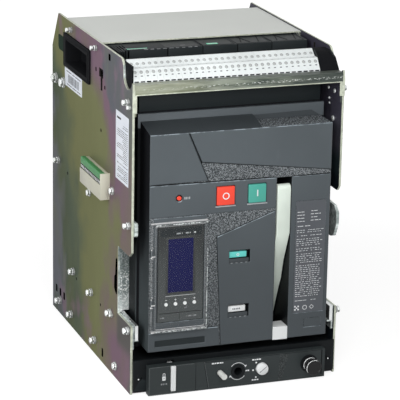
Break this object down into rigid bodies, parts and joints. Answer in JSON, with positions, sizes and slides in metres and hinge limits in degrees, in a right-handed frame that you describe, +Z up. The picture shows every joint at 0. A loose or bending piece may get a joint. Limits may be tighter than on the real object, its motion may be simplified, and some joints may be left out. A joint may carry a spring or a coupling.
{
  "type": "draw-out air circuit breaker in cradle",
  "caption": "Draw-out low-voltage air circuit breaker in a steel cradle, with racking unit, trip unit under a clear lid, push buttons, charging handle and rear busbar terminals.",
  "frame": {"origin": "middle of the cradle's base bolt pattern, on the floor plane under the base pan, midway between the side plates", "axes": "+X to the right seen from the front, the operating front faces -Y, +Z up"},
  "size_m": [0.304, 0.4256, 0.43],
  "materials": {
    "zinc_steel": "yellow passivated zinc, satin",
    "bright_steel": "bright zinc",
    "tinned_copper": "tin plated",
    "copper": "satin",
    "cover_grey": "satin paint",
    "black_plastic": "matte",
    "moulding": "matte moulded",
    "fascia_grey": "fine matte",
    "white_plastic": "satin",
    "cream_plastic": "satin",
    "handle_white": "satin",
    "clear": "clear plastic",
    "display": "gloss",
    "red": "satin",
    "green": "satin",
    "teal": "satin",
    "plate_grey": "printed label, bare"
  },
  "bodies": {
    "cradle": {"left_plate": "zinc_steel", "right_plate": "zinc_steel", "base_pan": "zinc_steel", "rear_insulator": "black_plastic", "rear_terminals": "tinned_copper", "top_cover": "cover_grey", "crossbar": "zinc_steel", "terminal_block": "white_plastic", "control_bed": "black_plastic", "control_modules": "moulding", "racking_box": "black_plastic", "racking_panel": "moulding", "racking_socket": "black_plastic", "crank_knob": "black_plastic", "rail_guides": "zinc_steel", "stop_lugs": "bright_steel", "hand_recesses": "black_plastic", "side_connector": "cream_plastic", "plate_fasteners": "bright_steel"},
    "breaker": {"breaker_case": "black_plastic", "arc_chutes": "moulding", "side_feet": "bright_steel", "plug_contacts": "copper", "fascia": "fascia_grey", "trip_unit": "moulding", "trip_display": "display", "state_flag": "teal", "spring_flag": "white_plastic", "rating_plate": "plate_grey", "handle_stop": "handle_white", "handle_pin": "bright_steel"},
    "left_rail": {"left_rail": "bright_steel"},
    "right_rail": {"right_rail": "bright_steel"},
    "padlock_tab": {"padlock_tab": "white_plastic"},
    "release_button": {"release_button": "bright_steel"},
    "position_knob": {"position_knob": "white_plastic"},
    "key_1": {"key_1": "white_plastic"},
    "key_2": {"key_2": "white_plastic"},
    "key_3": {"key_3": "white_plastic"},
    "key_4": {"key_4": "white_plastic"},
    "trip_lid": {"trip_lid": "clear"},
    "off_button": {"off_button": "red"},
    "on_button": {"on_button": "green"},
    "reset_button": {"reset_button": "red"},
    "charging_handle": {"charging_handle": "handle_white"}
  },
  "joints": [
    {"name": "draw_out", "type": "slide", "parent": "cradle", "child": "breaker", "axis": [0, -1, 0], "range_m": [0, 0.19]},
    {"name": "left_rail_slide", "type": "slide", "parent": "cradle", "child": "left_rail", "axis": [0, -1, 0], "range_m": [0, 0.19]},
    {"name": "right_rail_slide", "type": "slide", "parent": "cradle", "child": "right_rail", "axis": [0, -1, 0], "range_m": [0, 0.19]},
    {"name": "padlock_pull", "type": "slide", "parent": "cradle", "child": "padlock_tab", "axis": [0, -1, 0], "range_m": [0, 0.025]},
    {"name": "release_press", "type": "slide", "parent": "cradle", "child": "release_button", "axis": [0, 1, 0], "range_m": [0, 0.004], "stiffness_N_per_m": 400},
    {"name": "position_turn", "type": "hinge", "parent": "cradle", "child": "position_knob", "pos_m": [0.033, -0.1946, 0.0221], "axis": [0, 1, 0], "range_deg": [0, 90]},
    {"name": "key_1_press", "type": "slide", "parent": "breaker", "child": "key_1", "axis": [0, 1, 0], "range_m": [0, 0.0008], "stiffness_N_per_m": 400},
    {"name": "key_2_press", "type": "slide", "parent": "breaker", "child": "key_2", "axis": [0, 1, 0], "range_m": [0, 0.0008], "stiffness_N_per_m": 400},
    {"name": "key_3_press", "type": "slide", "parent": "breaker", "child": "key_3", "axis": [0, 1, 0], "range_m": [0, 0.0008], "stiffness_N_per_m": 400},
    {"name": "key_4_press", "type": "slide", "parent": "breaker", "child": "key_4", "axis": [0, 1, 0], "range_m": [0, 0.0008], "stiffness_N_per_m": 400},
    {"name": "lid_open", "type": "hinge", "parent": "breaker", "child": "trip_lid", "pos_m": [-0.1185, -0.195, 0.1588], "axis": [0, 0, -1], "range_deg": [0, 110]},
    {"name": "off_press", "type": "slide", "parent": "breaker", "child": "off_button", "axis": [0, 1, 0], "range_m": [0, 0.004], "stiffness_N_per_m": 500},
    {"name": "on_press", "type": "slide", "parent": "breaker", "child": "on_button", "axis": [0, 1, 0], "range_m": [0, 0.004], "stiffness_N_per_m": 500},
    {"name": "reset_press", "type": "slide", "parent": "breaker", "child": "reset_button", "axis": [0, 1, 0], "range_m": [0, 0.003], "stiffness_N_per_m": 400},
    {"name": "handle_pull", "type": "hinge", "parent": "breaker", "child": "charging_handle", "pos_m": [0.0579, -0.132, 0.08], "axis": [1, 0, 0], "range_deg": [0, 50], "stiffness_Nm_per_rad": 1, "springref_deg": -28.65}
  ]
}
